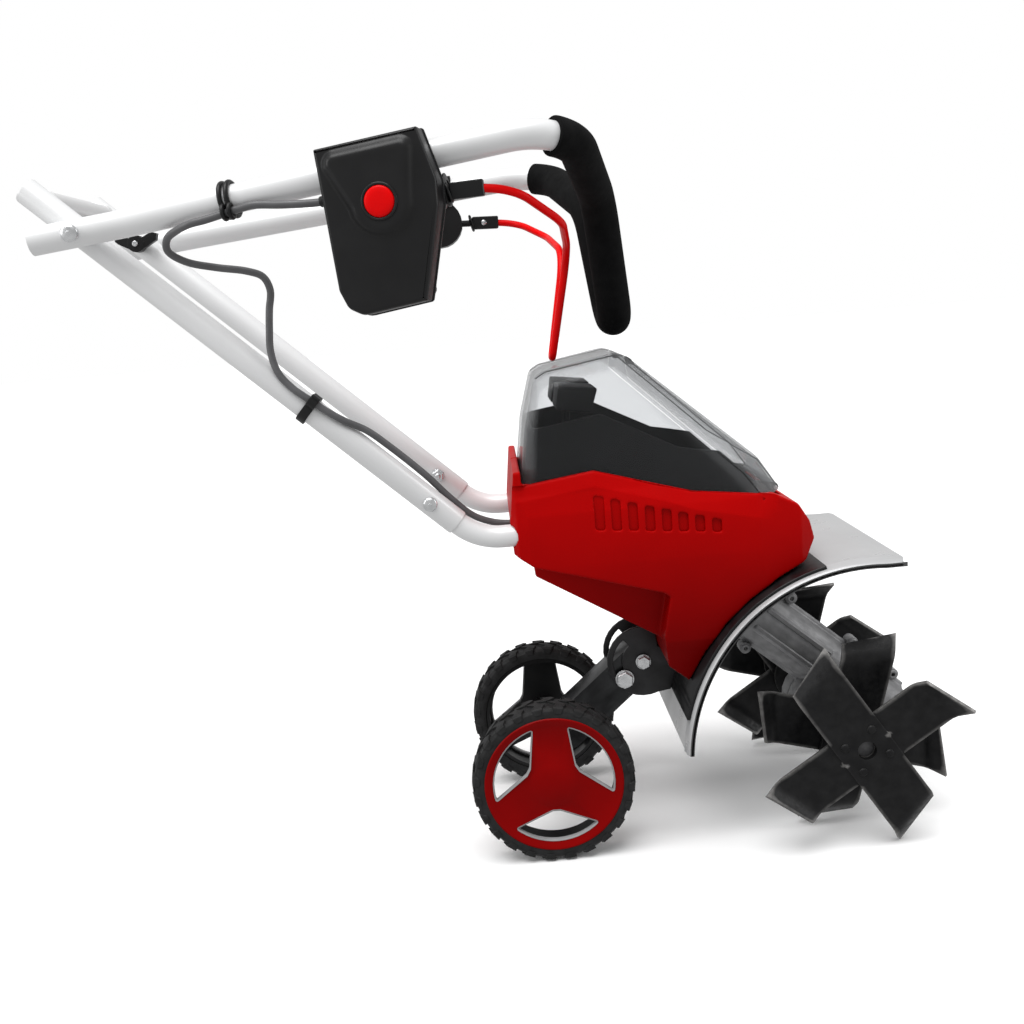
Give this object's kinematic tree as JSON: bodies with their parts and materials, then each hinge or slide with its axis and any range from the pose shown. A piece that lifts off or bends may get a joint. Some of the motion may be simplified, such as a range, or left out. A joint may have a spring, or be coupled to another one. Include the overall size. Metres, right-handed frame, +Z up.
{
  "type": "garden tiller",
  "caption": "Battery-powered garden tiller with folding tube handle, clear-lidded battery housing, swing-down transport wheels and bladed tine shaft under a curved fender.",
  "frame": {"origin": "middle of the overall length and width, on the floor under the wheels and tines", "axes": "+X towards the tines, +Y to the machine's left as seen by someone behind it, +Z up"},
  "size_m": [0.8496, 0.4116, 0.7087],
  "materials": {
    "red_plastic": "deep red moulded plastic, satin gloss",
    "bright_red": "bright red plastic and powder coat",
    "black_plastic": "black moulded plastic, fine grain",
    "foam": "black closed-cell foam",
    "tube_paint": "light silver-grey powder coat",
    "steel": "zinc-plated steel",
    "black_steel": "black powder-coated steel",
    "cast_case": "bead-blasted die casting",
    "fender_sheet": "light grey coated sheet",
    "blade_steel": "black painted blade steel, worn edges",
    "tyre": "black wheel rubber",
    "clear_cover": "clear, slightly smoked plastic",
    "copper": "bronze and wound copper",
    "board": "green circuit board",
    "cable_rubber": "dark grey cable sheath"
  },
  "bodies": {
    "chassis": {"housing_left": "red_plastic", "housing_right": "red_plastic", "battery_tray": "black_plastic", "battery_dock_left": "black_plastic", "battery_dock_right": "black_plastic", "control_board": "board", "canopy": "clear_cover", "window_hinge_pin": "steel", "motor_can": "steel", "gear_case_left": "cast_case", "gear_case_right": "cast_case", "axle_seal_left": "black_plastic", "axle_seal_right": "black_plastic", "fender": "fender_sheet", "fender_carrier": "black_plastic", "wheel_bracket": "black_steel", "arm_pivot_bolt": "steel", "lower_tube_left": "tube_paint", "lower_tube_right": "tube_paint", "middle_handle": "tube_paint", "tube_bolt_left": "steel", "tube_bolt_right": "steel", "cable_lower": "cable_rubber", "cable_clip_lower": "black_plastic"},
    "window": {"canopy_window": "clear_cover"},
    "upper_handle_frame": {"upper_handle": "tube_paint", "foam_grip": "foam", "fold_bolt_left": "steel", "fold_bolt_right": "steel", "switch_box_back": "black_plastic", "switch_box_front": "black_plastic", "microswitch": "black_plastic", "bail_housing": "black_plastic", "cable_upper": "cable_rubber", "cable_clip_upper": "black_plastic", "cable_loop": "cable_rubber"},
    "wing_left": {"wing_nut_left": "black_plastic"},
    "wing_right": {"wing_nut_right": "black_plastic"},
    "bail": {"bail_wire": "bright_red", "bail_lever_left": "black_plastic", "bail_lever_right": "black_plastic"},
    "button": {"lockout_button": "bright_red"},
    "arm": {"wheel_arm": "black_steel", "arm_lock_bolt": "steel", "wheel_axle": "steel"},
    "wheel_left": {"tyre_left": "tyre", "rim_left": "red_plastic"},
    "wheel_right": {"tyre_right": "tyre", "rim_right": "red_plastic"},
    "tines": {"tine_axle": "steel", "worm_wheel": "copper", "tine_hub_left": "blade_steel", "tine_hub_right": "blade_steel", "tine_star_left_outer": "blade_steel", "tine_star_left_inner": "blade_steel", "tine_star_right_outer": "blade_steel", "tine_star_right_inner": "blade_steel"},
    "motor": {"motor_rotor": "copper", "worm_shaft": "steel"}
  },
  "joints": [
    {"name": "window_hinge", "type": "hinge", "parent": "chassis", "child": "window", "pos_m": [0.2628, 0.00769, 0.354], "axis": [0, 1, 0], "range_deg": [0, 100]},
    {"name": "handle_fold", "type": "hinge", "parent": "chassis", "child": "upper_handle_frame", "pos_m": [-0.3692, 0.00769, 0.6485], "axis": [0, -1, 0], "range_deg": [0, 130], "deforming": ["cable_loop"]},
    {"name": "wing_nut_left_turn", "type": "hinge", "parent": "upper_handle_frame", "child": "wing_left", "pos_m": [-0.3692, 0.08069, 0.6485], "axis": [0, 1, 0], "continuous": true},
    {"name": "wing_nut_right_turn", "type": "hinge", "parent": "upper_handle_frame", "child": "wing_right", "pos_m": [-0.3692, -0.06531, 0.6485], "axis": [0, 1, 0], "continuous": true},
    {"name": "bail_squeeze", "type": "hinge", "parent": "upper_handle_frame", "child": "bail", "pos_m": [-0.0512, 0.00769, 0.648], "axis": [0, -1, 0], "range_deg": [0, 12], "stiffness_Nm_per_rad": 3, "springref_deg": -14.32},
    {"name": "lockout_press", "type": "slide", "parent": "upper_handle_frame", "child": "button", "axis": [0.1846, 0.9828, 0], "range_m": [0, 0.004], "stiffness_N_per_m": 600, "springref_m": -0.002},
    {"name": "wheel_arm_swing", "type": "hinge", "parent": "chassis", "child": "arm", "pos_m": [0.1263, 0.00769, 0.171], "axis": [0, 1, 0], "range_deg": [0, 52]},
    {"name": "wheel_left_spin", "type": "hinge", "parent": "arm", "child": "wheel_left", "pos_m": [0.01953, 0.10569, 0.082], "axis": [0, 1, 0], "continuous": true},
    {"name": "wheel_right_spin", "type": "hinge", "parent": "arm", "child": "wheel_right", "pos_m": [0.01953, -0.09031, 0.082], "axis": [0, 1, 0], "continuous": true},
    {"name": "tine_spin", "type": "hinge", "parent": "chassis", "child": "tines", "pos_m": [0.3228, 0.00769, 0.102], "axis": [0, 1, 0], "continuous": true},
    {"name": "motor_spin", "type": "hinge", "parent": "chassis", "child": "motor", "pos_m": [0.2168, 0.00769, 0.237], "axis": [0.7559, 0, -0.6547], "continuous": true}
  ],
  "couplings": [
    {"joint": "motor_spin", "follows": "tine_spin", "ratio": 18}
  ]
}
